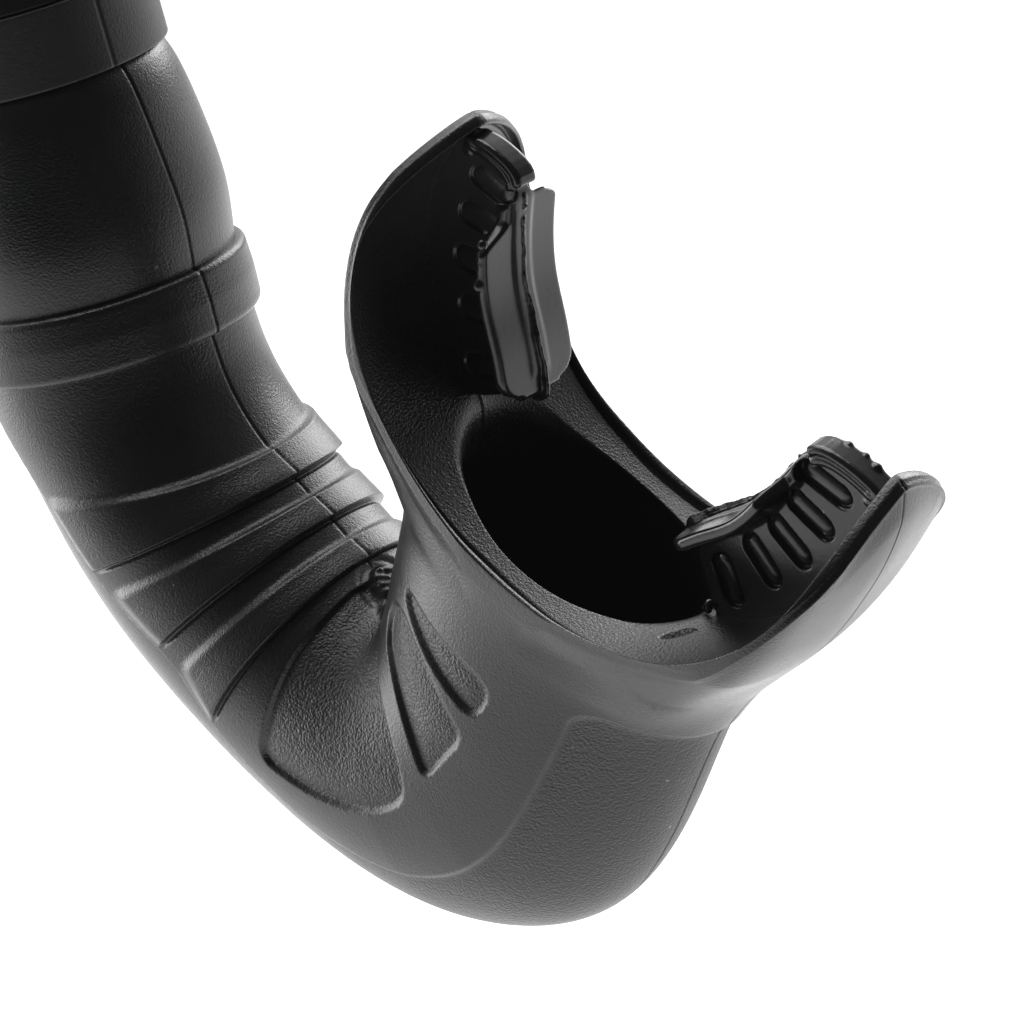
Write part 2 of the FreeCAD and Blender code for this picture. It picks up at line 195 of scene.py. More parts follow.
def grid_faces(rows, columns):
    """Quads of a grid that closes around its columns and around its rows."""
    a, column = np.meshgrid(np.arange(rows), np.arange(columns), indexing="ij")
    b, following = (a + 1) % rows, (column + 1) % columns
    quads = np.stack([a * columns + column, a * columns + following, b * columns + following,
                      b * columns + column], -1)
    return quads.reshape(-1, 4)


def grid_normals(grid):
    """Unit normals of a grid that closes both ways."""
    down = np.roll(grid, -1, 0) - np.roll(grid, 1, 0)
    around = np.roll(grid, -1, 1) - np.roll(grid, 1, 1)
    normal = np.cross(around, down)
    return normal / np.maximum(np.linalg.norm(normal, axis=-1, keepdims=True), 1e-9)


def solid_normals_out(grid, faces):
    """The faces, turned so that their normals point out of the solid."""
    v = grid.reshape(-1, 3)
    a, b, c, d = (v[faces[:, n]] for n in range(4))
    volume = (np.einsum("ij,ij->i", a, np.cross(b, c)) + np.einsum("ij,ij->i", a, np.cross(c, d))).sum()
    return faces if volume > 0 else faces[:, ::-1]


# ---- soft moulding: its lines

INNER_LINE, INNER_AT = fine_line([
    (15.05, -31.5), (15.3, -35.0), (16.2, -38.8), (17.5, -41.8), (19.1, -44.4), (21.4, -47.3), (23.3, -49.6),
    (25.3, -52.1), (27.3, -54.6), (29.4, -57.1), (31.3, -59.1), (33.2, -60.4), (34.6, -60.6), (35.8, -59.2),
    (37.6, -55.9), (40.2, -50.9), (43.69, -44.44)])
OUTER_LINE, OUTER_AT = fine_line([
    (-15.05, -31.5), (-14.3, -36.0), (-12.9, -40.4), (-10.5, -48.9), (-5.4, -61.5), (4.6, -75.2),
    (19.6, -89.1), (36.8, -97.0), (51.7, -96.0), (62.8, -87.6), (70.4, -79.2), (75.59, -73.63)])

# Each fold of the bellows lies in a plane, given by its point on the inner line and its slope in degrees.
FOLDS = [((16.2, -38.8), -1), ((19.1, -44.3), -0.6), ((21.6, -47.5), 14), ((23.4, -49.7), 16.3),
         ((25.4, -52.2), 29.5), ((27.2, -54.5), 32), ((29.2, -56.9), 41), ((30.6, -58.5), 58)]
RIDGES = [(2, 3), (4, 5), (6, 7)]
ELBOW = [((33.2, -60.4), (19.6, -89.1)), ((34.6, -60.6), (36.8, -97.0)), ((35.8, -59.2), (51.7, -96.0)),
         ((37.6, -55.9), (62.8, -87.6)), ((40.2, -50.9), (70.4, -79.2)), ((43.69, -44.44), (75.59, -73.63))]
HALF_DEPTHS = [15.05, 14.95, 14.9, 14.9, 14.9, 14.8, 14.8, 14.8, 14.8, 14.9, 15.1, 14.9, 14.5, 14.3, 14.2]
BACK_EDGES = [118, 114, 111, 106, 104, 99, 99, 107, 112, 114.5, 115, 114, 116.5, 119, 120]


def key_sections():
    """The bend's key sections, as lengths along the inner and the outer line."""
    places = [(0.0, 0.0)]
    for point, slope in FOLDS:
        turn = math.radians(slope)
        x, z = OUTER_LINE[:, 0] - point[0], OUTER_LINE[:, 1] - point[1]
        side = x * math.sin(turn) - z * math.cos(turn)
        places.append((INNER_AT[nearest(INNER_LINE, point)], OUTER_AT[int(np.argmax(side > 0))]))
    for inner, outer in ELBOW:
        places.append((INNER_AT[nearest(INNER_LINE, inner)], OUTER_AT[nearest(OUTER_LINE, outer)]))
    return np.array(places)


KEYS = key_sections()
KEY_AT = lengths(KEYS) / math.sqrt(2)


def bend_rows(inset=0.0, step=0.33, finest=0.09):
    """Sections of the bend: their place among the keys, inner point, outer point and half depth."""
    places = list(np.arange(step, KEY_AT[-1], step))
    if finest:
        for _, lower in RIDGES:
            places += list(np.arange(KEY_AT[lower] - 0.5, KEY_AT[lower] + 0.9, finest))
    places = np.array(sorted(places))
    places = places[np.concatenate([[True], np.diff(places) > 0.03])]
    inner_at, outer_at = (np.interp(places, KEY_AT, KEYS[:, n]) for n in (0, 1))
    inner = np.stack([np.interp(inner_at, INNER_AT, INNER_LINE[:, n]) for n in (0, 1)], 1)
    outer = np.stack([np.interp(outer_at, OUTER_AT, OUTER_LINE[:, n]) for n in (0, 1)], 1)
    depth = np.interp(places, KEY_AT, HALF_DEPTHS)
    span = np.linalg.norm(inner - outer, axis=1, keepdims=True)
    away = (inner - outer) / span
    return places, inner - away * inset, outer + away * inset, depth - inset


# ---- soft moulding: columns and sections

even = np.linspace(0, 2 * math.pi, COLUMNS, endpoint=False)
TURN = even - 0.16 * np.sin(2 * even)
COS, SIN = np.cos(TURN), np.sin(TURN)


def ovals(inner, outer, depth):
    """Oval sections between inner and outer points in the plane of symmetry."""
    centre, reach = (inner + outer) / 2, (inner - outer) / 2
    x = centre[:, :1] + reach[:, :1] * COS
    z = centre[:, 1:] + reach[:, 1:] * COS
    return np.stack([x, depth[:, None] * SIN, z], -1)


def discs(profile):
    """Round sections about the barrel's axis from (radius, height) points."""
    radius, height = profile[:, :1], profile[:, 1:]
    return np.stack([radius * COS, radius * SIN, height + 0 * COS], -1)


def mouth_points(along, out, across):
    """Points in the part's frame from the mouth's."""
    along, out, across = np.broadcast_arrays(along, out, across)
    return MOUTH_CENTRE + along[..., None] * ALONG + out[..., None] * OUT + across[..., None] * ACROSS


def in_mouth(points):
    offset = points - MOUTH_CENTRE
    return offset @ ALONG, offset @ OUT


# ---- soft moulding: the cuff

CUFF_SIDE = spline([-0.6, -2.4, -4.7, -7.5, -10.7, -14.5, -17.0, -20.0, -23.3][::-1],
                   [14.0, 14.62, 15.08, 15.42, 15.7, 15.95, 15.98, 15.72, 15.2][::-1],
                   np.arange(-23.3, -0.6, 0.3))[:, 0]


def cuff_profile():
    side = np.stack([CUFF_SIDE, np.arange(-23.3, -0.6, 0.3)], 1)[::-1]
    lip = rounded_profile([(12.75, -0.15), (13.75, -0.15), (14.0, -0.75)], 0.35, 0.2)
    ring = rounded_profile([(15.2, -23.4), (15.16, -23.75), (16.2, -23.85), (16.35, -27.0), (16.22, -30.4),
                            (15.02, -30.55), (WAIST, -31.3)], 0.42, 0.16)
    return np.concatenate([lip, side[1:], ring])


CUFF_INSIDE = [(12.45, -31.2), (12.45, -22.3), (10.25, -20.35), (12.58, -20.3), (12.58, -17.9),
               (13.58, -16.8), (13.58, -16.0), (12.58, -15.5), (12.58, -0.25)]


# ---- soft moulding: the shield

def shield_line():
    half = [(0, -4.9), (14, -2.1), (25.4, 7.5), (30.1, 19), (28.1, 31), (26.4, 40)]
    line, _ = fine_line([(-a, o) for a, o in reversed(half[1:])] + half, 4000)
    line = line[line[:, 0] >= 0]
    line = line[:int(np.argmax(line[:, 1] > 34))]
    return line, lengths(line)


LINE, LINE_AT = shield_line()

# The shield's outer sections: out, half length, half depth, shift, squareness and bow.
LOOPS = np.array([(-12, 21.6, 14.2, 1.8, 0, 0), (-5, 25.4, 14.5, 0.4, 0.45, 0),
                  (4.5, 29.2, 15.2, 0, 0.95, 0.06), (12, 30.8, 15.7, 0, 1, 0.06),
                  (20, 31.6, 15.6, 0, 1, 0.04), (33, 29.6, 15.6, 0, 1, 0.04)])
NECK_END = -12
LOBE_START, LOBE_LENGTH, LOBE_HALF_DEPTH = 10, 19.4, 14.3
LAST_RIM = 29.3


def lobe_half_depth(out):
    share = np.clip((np.asarray(out, float) - LOBE_START) / LOBE_LENGTH, 0, 1)
    return LOBE_HALF_DEPTH * (1 - share ** 1.9) ** (1 / 1.3)


def flank_table():
    """The shield's outer surface as lines that climb from the neck, one for each column."""
    out = np.arange(NECK_END, 33.01, 0.2)
    half, depth, shift = spline(LOOPS[:, 0], LOOPS[:, 1:4], out).T[:, :, None]
    square, bow = (np.interp(out, LOOPS[:, 0], LOOPS[:, n])[:, None] for n in (4, 5))
    swell = 1 + ((np.abs(COS) ** 9 + np.abs(SIN) ** 9) ** (-1 / 9) - 1) * square
    return out, shift - half * COS * swell * (1 - bow * (SIN * swell) ** 2), depth * SIN * swell


def first_crossing(out, values):
    """Where each column of values first falls to nothing."""
    below = values <= 0
    found = below.any(0)
    row = np.maximum(np.argmax(below, 0), 1)
    columns = np.arange(values.shape[1])
    high, low = values[row - 1, columns], values[row, columns]
    share = np.clip(high / np.maximum(high - low, 1e-9), 0, 1)
    return np.where(found, out[row - 1] + share * (out[row] - out[row - 1]), 1e3)


def rim():
    """Each column's end: the outer surface up to it and the same place on the inner face."""
    out, along, across = flank_table()
    limit = np.where(out < LINE[0, 1], 0, np.interp(out, LINE[:, 1], LINE[:, 0]))[:, None]
    at_face = first_crossing(out, np.abs(along) - limit)
    at_outline = first_crossing(out, lobe_half_depth(out)[:, None] - np.abs(across) + 1e-6)
    end = np.minimum(np.minimum(at_face, at_outline), LAST_RIM)
    for _ in range(6):
        end = 0.25 * np.roll(end, 1) + 0.5 * end + 0.25 * np.roll(end, -1)
    columns = range(COLUMNS)
    last_along = np.array([np.interp(end[c], out, along[:, c]) for c in columns])
    last_across = np.array([np.interp(end[c], out, across[:, c]) for c in columns])
    place = np.array([nearest(LINE, (abs(last_along[c]), end[c])) for c in columns])
    at = LINE_AT[place] * np.where(last_along < 0, -1, 1)
    return out, along, across, end, last_across, at


def into_cup(at):
    """Unit directions from the inner face into the mouth, at lengths along its line."""
    slope = np.gradient(LINE, axis=0)
    slope /= np.linalg.norm(slope, axis=1, keepdims=True)
    along = -np.interp(np.abs(at), LINE_AT, slope[:, 1]) * np.sign(at)
    out = np.interp(np.abs(at), LINE_AT, slope[:, 0])
    return along[..., None] * ALONG + out[..., None] * OUT


def on_shield(at, across):
    """Points of the inner face from lengths along its line."""
    along = np.interp(np.abs(at), LINE_AT, LINE[:, 0]) * np.sign(at)
    out = np.interp(np.abs(at), LINE_AT, LINE[:, 1])
    return mouth_points(along, out, across)


def leaning(points):
    """The points moved with the lobes, which have settled a little: the outer one more than the inner one."""
    along, out = in_mouth(points)
    across = points[..., 1]
    outer = smooth(12, 26, along) * smooth(0, 22, out)
    inner = smooth(12, 26, -along) * smooth(-2, 16, out)
    far = smooth(-3, 11, across)
    pull = outer * (-0.5 - 1.2 * far) - inner * 0.5 * (1 - far)
    lift = outer * 1.6 * far
    aside = -0.5 * smooth(-12, 0, out)
    return points + pull[..., None] * ALONG + lift[..., None] * OUT + aside[..., None] * ACROSS


# ---- soft moulding: its relief

# The rim's bead stands BEAD high, the lobes thin to EDGE, and the tube is FULLER than the CAD's.
BEAD = 0.6
EDGE = 1.2
FULLER = 0.4
BACK_RADIUS = 15.5
BAND_CORNER = 3.0
OPENING_HALF, OPENING_HALF_DEPTH = 15.1, 10.3
CREASE = np.array([32.4, 0.0, -58.9])
PANELS = [
    [(30.6, -58.0), (29.2, -60.2), (27.0, -62.7), (25.2, -65.8), (23.0, -69.7), (21.0, -73.6), (24.3, -75.8),
     (28.0, -77.6), (33.6, -79.0), (38.0, -78.9), (41.6, -77.4), (42.0, -74.1), (41.1, -70.2), (39.9, -67.2),
     (38.8, -64.7), (38.2, -62.6), (38.4, -61.2), (35.0, -61.6), (32.5, -60.4)],
    [(41.2, -58.6), (40.8, -61.2), (41.5, -62.8), (42.7, -65.8), (43.7, -68.9), (44.5, -71.8), (45.3, -75.0),
     (48.7, -72.5), (52.3, -70.2), (51.1, -67.3), (49.5, -63.8), (48.0, -60.8), (46.0, -57.8), (43.5, -56.6)],
    [(45.9, -55.9), (48.5, -60.3), (51.3, -64.3), (54.5, -68.2), (58.0, -64.8), (54.8, -61.4), (50.9, -58.1),
     (46.9, -54.6)]]


def ridge_profile(places):
    """How far the bellows' ridges stand out at each row."""
    height = np.zeros(len(places))
    for (upper, lower), tall in zip(RIDGES, (1.0, 0.9, 0.8)):
        start, end = KEY_AT[upper], KEY_AT[lower]
        rise = smooth(start - 0.7, start + 0.9, places) * (0.62 + 0.38 * smooth(start, end, places))
        height += tall * rise * (1 - smooth(end - 0.12, end + 0.2, places))
        height -= 0.22 * smooth(end - 0.1, end + 0.15, places) * (1 - smooth(end + 0.2, end + 0.8, places))
    return height


def shield_rows():
    """The shield's flank, from the neck to the rim, and its face, from the rim to the mouth opening."""
    table_out, table_along, table_across, end, rim_across, rim_at = rim()
    climb = 1 - (1 - np.linspace(0, 1, 150)[1:, None]) ** 1.3
    out = NECK_END + climb * (end - NECK_END)
    along = np.stack([np.interp(out[:, c], table_out, table_along[:, c]) for c in range(COLUMNS)], 1)
    across = np.stack([np.interp(out[:, c], table_out, table_across[:, c]) for c in range(COLUMNS)], 1)
    flank = mouth_points(along, out, across)

    open_along, open_across = -OPENING_HALF * COS, OPENING_HALF_DEPTH * SIN
    open_at = np.interp(np.abs(open_along), LINE[:, 0][:2000], LINE_AT[:2000]) * np.sign(open_along)
    width = np.hypot(open_at - rim_at, open_across - rim_across)
    share = np.linspace(0, 1, 96)[:, None]
    share = share ** (1 + 0.4 * smooth(6, 25, width))
    at = rim_at + (open_at - rim_at) * share
    aside = rim_across + (open_across - rim_across) * share
    face = on_shield(at, aside)

    # the lobes thin to an even edge, and the flank draws in below it
    to_face = face[0] - flank[-1]
    below = np.linalg.norm(flank - flank[-1], axis=-1)
    thinning = np.clip(1 - EDGE / np.maximum(np.linalg.norm(to_face, axis=-1), 0.1), 0, 1)
    flank = flank + ((1 - smooth(0, 5, below)) * thinning)[..., None] * to_face
    draw_in = smooth(0.2, 4.5, below) * smooth(NECK_END, -6, out) * (1 - smooth(-3, 12, out))
    return SimpleNamespace(flank=flank, draw_in=draw_in, face=face, face_at=at, face_across=aside,
                           from_rim=share * width, rim_at=rim_at)


def bend_relief(points, places):
    """How far the bend's surface is pushed out at its points, and how strong its leather grain is."""
    degrees = np.degrees(np.where(TURN > math.pi, 2 * math.pi - TURN, TURN))
    back_edge = np.interp(places, KEY_AT, BACK_EDGES)[:, None]
    from_back = (back_edge - degrees) / 57.3 * BACK_RADIUS
    push = ridge_profile(places)[:, None] * smooth(0.2, 3.0, from_back)
    grain = np.zeros(push.shape)
    x, y, z = points[..., 0], points[..., 1], points[..., 2]
    for corners in PANELS:
        inside_by = outline_distance(x, z, eased_outline(corners))
        inside_by = np.where(degrees > 6, inside_by, -5)
        push -= smooth(-0.1, 0.36, inside_by) * (0.2 + 0.4 * np.exp(-np.clip(inside_by, 0, 99) / 2.5))
        grain = np.maximum(grain, smooth(0.0, 0.9, inside_by))

    # the small folded web in the crease, with a hollow around it
    from_crease = np.linalg.norm(points - CREASE, axis=-1)
    folds = 0.13 * np.cos((z + 0.5 * y) * 2 * math.pi / 0.9)
    push += (0.75 + folds) * (1 - smooth(2.0, 2.7, from_crease))
    push -= 0.3 * np.exp(-((from_crease - 3.3) / 0.6) ** 2)

    # the elbow's grained band, whose edge turns a round corner below the neck
    _, level = in_mouth(points)
    below_neck = -12.8 - level
    a, b = np.maximum(BAND_CORNER + from_back, 0), np.maximum(BAND_CORNER - below_neck, 0)
    straight = np.maximum(BAND_CORNER + from_back, BAND_CORNER - below_neck)
    band = BAND_CORNER - np.where((a > 0) & (b > 0), np.hypot(a, b), straight)
    push -= 0.42 * smooth(-0.08, 0.26, band) * smooth(0, 6, places)[:, None]
    low_enough = smooth(KEY_AT[8], KEY_AT[10], places)[:, None]
    return push, np.maximum(grain, smooth(0.1, 0.9, band) * low_enough)


def nick_shape(at, across):
    """A nick in the face beside the outer tab: 1 along its middle and 0 beside it."""
    at, across = at - 17.9, across + 6.4
    along, aside = 0.46 * at + 0.89 * across, 0.89 * at - 0.46 * across
    width = 0.3 * np.sqrt(np.clip(1 - (along / 1.7) ** 2, 1e-4, 1))
    return np.exp(-(aside / width) ** 2) * (np.abs(along) < 1.7)


def rim_bead(from_edge):
    """The height of the rim's bead, with a groove on each side of it."""
    bead = BEAD * np.sqrt(np.clip(1 - ((from_edge - 0.25) / 0.72) ** 2, 0, 1))
    bead -= 0.42 * np.exp(-((from_edge - 1.3) / 0.28) ** 2) + 0.2 * np.exp(-((from_edge + 0.75) / 0.2) ** 2)
    return bead


# ---- soft moulding: its skin

def joined(parts):
    """The parts' rows as one grid, and the number of each part's first row."""
    first, row = {}, 0
    for name, part in parts:
        first[name] = row
        row += len(part)
    return np.concatenate([part for _, part in parts]), first


def ease(grid, start, stop, times):
    """Smooth the grid's rows from start to stop."""
    for _ in range(times):
        grid[start:stop] = (0.25 * grid[start - 1:stop - 1] + 0.5 * grid[start:stop]
                            + 0.25 * grid[start + 1:stop + 1])


def soft_skin():
    cuff = cuff_profile()
    places, inner, outer, depth = bend_rows()
    shield = shield_rows()
    flank, face = shield.flank, shield.face
    edge = np.linspace(0, 1, 7)[1:-1, None, None]
    lip = flank[-1] * (1 - edge) + face[0] * edge
    neck = [mouth_points(1.8 * t + -(OPENING_HALF + 3.9 * t) * COS, -5.5 - 6.5 * t + 0 * COS,
                         (OPENING_HALF_DEPTH + 1.3 * t) * SIN)
            for t in np.linspace(0, 1, 20) ** 1.3]
    _, inside_inner, inside_outer, inside_depth = bend_rows(SOFT_WALL, 1.4, 0)
    inside = ovals(inside_inner, inside_outer, inside_depth)[::-1]
    inside_cuff = discs(rounded_profile(CUFF_INSIDE, 0.2, 1.2))
    grid, first = joined([
        ("cuff", discs(cuff)), ("bend", ovals(inner, outer, depth)), ("flank", flank), ("lip", lip),
        ("face", face), ("neck", np.array(neck)), ("inside", inside), ("inside_cuff", inside_cuff)])

    ease(grid, first["bend"] - 6, first["bend"] + 6, 6)
    ease(grid, first["flank"] - 14, first["flank"] + 14, 60)
    ease(grid, first["lip"] - 8, first["face"] + 8, 5)
    ease(grid, first["neck"] - 8, first["neck"] + 6, 12)
    ease(grid, first["inside"] - 4, first["inside"] + 4, 8)

    normal = grid_normals(grid)
    if (normal[first["cuff"] + 40, 0] @ np.array([1.0, 0, 0])) < 0:
        normal = -normal

    # the third mark is painted shade, which the material darkens to near black
    push, grain, painted_shade = (np.zeros(grid.shape[:2]) for _ in range(3))
    bend_end = 1 - smooth(KEY_AT[-3], KEY_AT[-1], places)
    fuller = np.concatenate([smooth(0, 12, np.arange(len(cuff))), bend_end])
    push[:first["flank"]] += FULLER * fuller[:, None]
    rows = slice(first["bend"], first["flank"])
    relief, grain[rows] = bend_relief(grid[rows], places)
    push[rows] += relief
    push[first["flank"]:first["lip"]] -= 0.45 * shield.draw_in

    # parting lines: shallow grooves, with painted shade along them
    outside = slice(0, first["lip"])
    radius = np.linalg.norm(grid[outside] - grid[outside].mean(1, keepdims=True), axis=-1)
    for centre_turn in (0.0, math.pi):
        aside = np.abs(np.angle(np.exp(1j * (TURN - centre_turn)))) * radius
        push[outside] -= 0.16 * np.exp(-(aside / 0.17) ** 2)
        painted_shade[outside] = np.maximum(painted_shade[outside], np.exp(-(aside / 0.16) ** 2))

    # the face: its parting line, its grain and the nick, with painted shade in the nick
    rows = slice(first["face"], first["neck"])
    push[rows] += 0.2 * np.exp(-(shield.face_across / 0.16) ** 2) * smooth(1.2, 2.0, shield.from_rim)
    grain[rows] = 0.35 * smooth(1.6, 2.4, shield.from_rim)
    nick = nick_shape(shield.face_at, shield.face_across)
    push[rows] -= 0.8 * nick
    painted_shade[rows] = np.maximum(painted_shade[rows], nick)
    grid = grid + normal * push[..., None]

    from_edge = np.full(grid.shape[:2], 50.0)
    from_edge[rows] = shield.from_rim
    from_edge[first["lip"]:first["face"]] = 0
    from_edge[first["flank"]:first["lip"]] = -np.linalg.norm(flank - flank[-1], axis=-1)
    grid = grid + into_cup(shield.rim_at) * rim_bead(from_edge)[..., None]
    grid = leaning(grid)
    faces = solid_normals_out(grid, grid_faces(len(grid), COLUMNS))
    skin = new_piece("soft_moulding", grid.reshape(-1, 3), faces, None,
                     ("elbow_cuff", "flex_bellows", "elbow_bend", "mouth_shield"),
                     {"grain": grain, "painted_shade": painted_shade})
    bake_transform(skin)
    return skin


# ---- bite tabs

VOXEL = 0.16
WALL = [(10.9, 6.6), (13.7, 10.7), (16.7, 14.4), (18.9, 18.6), (20.4, 23.1)]
PLATE_END = [(22.2, 26.2), (26.0, 27.4), (33.0, 26.4)]
PLATE_FRONT = [(34.0, 8.0), (24.0, -3.0), (17.6, -1.0)]
GRIP_SLOTS = [(17.2, 4.6, 41), (19.9, 9.7, 24), (22.2, 14.1, 14), (23.4, 18.6, 4), (23.7, 23.0, -6)]


def soft_max(a, b, radius):
    """The larger of two distances, rounded where they meet."""
    h = np.clip(0.5 + 0.5 * (a - b) / radius, 0, 1)
    return b + (a - b) * h + radius * h * (1 - h)


def soft_min(a, b, radius):
    return -soft_max(-a, -b, radius)


def segment_distance(x, y, start, end):
    dx, dy = end[0] - start[0], end[1] - start[1]
    t = np.clip(((x - start[0]) * dx + (y - start[1]) * dy) / (dx * dx + dy * dy), 0, 1)
    return np.hypot(x - start[0] - t * dx, y - start[1] - t * dy), t


def bite_tab_solid(hollow):
    """Distances from a bite tab on a block of points in the mouth's frame, with slots that are hollow deep."""
    low, high = np.array([8.5, -3.5, -7.0]), np.array([33.0, 30.0, 7.0])
    a, o, y = np.meshgrid(*[np.arange(l, h, VOXEL) for l, h in zip(low, high)], indexing="ij", sparse=True)
    flat_a, flat_o = a + 0 * o, o + 0 * a
    wall, wall_at = fine_line(WALL, 200)
    thick = 0.9
    centre = wall + np.array([0.86, -0.5]) * thick
    from_wall, along_wall = np.full(flat_a.shape, 1e9), np.zeros(flat_a.shape)
    for n in range(0, len(centre) - 1, 4):
        m = min(n + 4, len(centre) - 1)
        distance, t = segment_distance(flat_a, flat_o, centre[n], centre[m])
        closer = distance < from_wall
        from_wall = np.where(closer, distance, from_wall)
        along_wall = np.where(closer, wall_at[n] + t * (wall_at[m] - wall_at[n]), along_wall)
    low_corner = 2.4 * (1 - np.sqrt(1 - np.clip(1 - along_wall / 2.4, 0, 1) ** 2))
    near_corner, far_corner = 3.4 * smooth(14.8, 17.4, along_wall), 2.6 * smooth(17.8, 20.0, along_wall)
    tall = 5.5 - low_corner - np.where(y < 0, near_corner, far_corner)
    wall_solid = soft_max(from_wall - thick + 0.04 * np.abs(y), np.abs(y) - tall, 0.6)

    outline = eased_outline(WALL + PLATE_END + PLATE_FRONT, 3)
    plate_flat = -outline_distance(flat_a, flat_o, outline)
    plate_flat = np.maximum(plate_flat, flat_a - np.interp(flat_o, LINE[:, 1], LINE[:, 0]) - 0.9)
    plate = soft_max(plate_flat, np.abs(y) - 1.1, 0.5)
    solid = soft_min(wall_solid, plate, 0.7)

    for along, out, tilt in GRIP_SLOTS:
        turn = math.radians(tilt)
        reach = np.array([math.cos(turn), -math.sin(turn)]) * 1.7
        distance, _ = segment_distance(flat_a, flat_o, (along - reach[0], out - reach[1]),
                                       (along + reach[0], out + reach[1]))
        floor = 1.1 - hollow + 0.8 * hollow * np.sqrt(np.clip(1 - (distance / 1.15) ** 2, 0, 1))
        solid = soft_max(solid, -soft_max(distance - 1.3, floor - np.abs(y), 0.1), 0.2)

    # the rim around the plate's end, in two steps
    for shift, size in ((0.0, 0.5), (1.0, 0.3)):
        points = eased_outline([(20.7 + 0.6 * shift, 23.4 - shift), (21.4 + 0.6 * shift, 26.0 - shift),
                                (25.5, 27.0 - shift), (29.6, 26.6 - shift)], 2)[1:12]
        rim_flat = np.full(flat_a.shape, 1e9)
        for start, end in zip(points, points[1:]):
            rim_flat = np.minimum(rim_flat, segment_distance(flat_a, flat_o, start, end)[0])
        ridge = np.hypot(rim_flat, np.maximum(np.abs(y) - 0.95, 0)) - size
        solid = soft_min(solid, ridge, 0.35)

    # the fin of flash on the mould's parting line, ragged at the end of the plate
    ragged = smooth(15, 20, along_wall)
    reach = 0.85 - 0.03 * along_wall + (0.06 + 0.3 * ragged) * wobble(along_wall * 1.6, 4)
    fin = np.maximum(from_wall - thick - reach, np.abs(y - 0.1 * np.sin(along_wall)) - 0.2)
    inner_side = (flat_a - np.interp(flat_o, centre[:, 1], centre[:, 0])) < 0
    solid = np.where(inner_side, np.minimum(solid, fin), solid)
    return solid.astype(np.float32), low


# Beads of flash left on each tab, as along, out, across and radius.
FLASH = {
    "bite_tab_outer": [(16.5, 0.4, -1.3, 0.5), (16.3, -0.4, -1.2, 0.42), (16.9, 0.1, -1.6, 0.4),
                       (26.6, 27.2, 0.9, 0.5), (23.4, 26.8, 1.1, 0.4), (28.6, 27.0, 0.7, 0.4),
                       (25.2, 27.1, 1.2, 0.35)],
    "bite_tab_inner": [(20.0, 19.7, -5.3, 0.58), (18.8, 15.6, -5.3, 0.66), (19.7, 18.4, -5.3, 0.26),
                       (19.4, 17.6, -5.25, 0.3), (20.3, 21.0, -5.1, 0.24)],
}


def bite_tabs():
    for name, side, pull, lift, hollow in (("bite_tab_outer", 1, -1.8, 0.3, 0.65),
                                           ("bite_tab_inner", -1, 0.5, 1.4, 0.3)):
        beaded, low = bite_tab_solid(hollow)
        lines = [low[n] + VOXEL * np.arange(beaded.shape[n]) for n in range(3)]
        a, o, y = np.meshgrid(*lines, indexing="ij", sparse=True)
        for along, out, across, radius in FLASH[name]:
            bead = np.sqrt((a - along) ** 2 + (o - out) ** 2 + (y - across) ** 2) - radius
            beaded = soft_min(beaded, bead, 0.2)
        volume = openvdb.FloatGrid(3 * VOXEL)
        volume.copyFromArray(np.clip(beaded, -3 * VOXEL, 3 * VOXEL).astype(np.float32))
        points, quads = volume.convertToQuads(isovalue=0.0)
        along, out, across = (points * VOXEL + low).T
        bent = smooth(6, 24, out) * np.clip((np.interp(out, LINE[:, 1], LINE[:, 0]) - along) / 9, 0, 1)
        placed = leaning(mouth_points(side * (along + pull * bent), out + lift * bent, across))
        faces = solid_normals_out(placed, np.asarray(quads, int))
        new_piece(name + "_moulded", placed, faces, "mouthpiece", (name,))


# ---- turned pieces

def turned(name, corners, radius, body, step=1.0, columns=256, relief=None):
    """A piece turned about the barrel's axis from a closed line of (radius, height) corners."""
    profile = rounded_profile(corners + corners[:1], radius, step)[:-1]
    turn = np.linspace(0, 2 * math.pi, columns, endpoint=False)
    r, h = profile[:, :1], profile[:, 1:]
    if relief is not None:
        r = r + relief(r, h, turn[None, :])
    grid = np.stack([r * np.cos(turn), r * np.sin(turn), h + 0 * turn + 0 * r], -1)
    faces = solid_normals_out(grid, grid_faces(len(grid), columns))
    return new_piece(name + "_moulded", grid.reshape(-1, 3), faces, body, (name,))


def line_at(angle, depth, width):
    """A parting line down a turned piece's outside."""
    def relief(radius, height, turn):
        aside = np.abs(np.angle(np.exp(1j * (turn - math.radians(angle))))) * radius
        return -depth * np.exp(-(aside / width) ** 2) * (radius > 13.3)
    return relief


def turned_pieces():
    turned("barrel_tube", [
        (10.25, -20), (12.5, -20), (12.5, -17.9), (13.5, -16.7), (13.5, -16.1), (12.5, -15.5),
        (12.5, 8.65), (14.3, 8.65), (14.3, 21.6), (12.5, 29.6), (12.5, 300), (10.25, 300)],
        0.35, "barrel", step=1.5)
    turned("lock_collar", [(12.55, 0.0), (14.8, 0.0), (14.8, 8.6), (12.55, 8.6)], 0.3, "barrel",
           step=0.3, columns=720, relief=line_at(-7.0, 0.14, 0.2))
    turned("tip_guard", [
        (12.55, 264), (13.1, 264), (13.9, 265.5), (13.9, 301.5), (12.9, 302.5), (11.0, 302.5), (11.0, 300.05),
        (12.55, 300.05)], 0.6, "barrel", step=0.5,
        relief=lambda r, h, t: 0.3 * (r > 13.5) * (h < 290) * (np.cos(h * 2 * math.pi / 4.0) ** 8))
    turned("keeper_sleeve", [
        (12.58, 102.0), (16.2, 102.0), (16.2, 104.5), (14.7, 104.5), (14.7, 119.5), (16.2, 119.5),
        (16.2, 122.0), (12.58, 122.0)], 0.5, "sleeve", step=0.5)


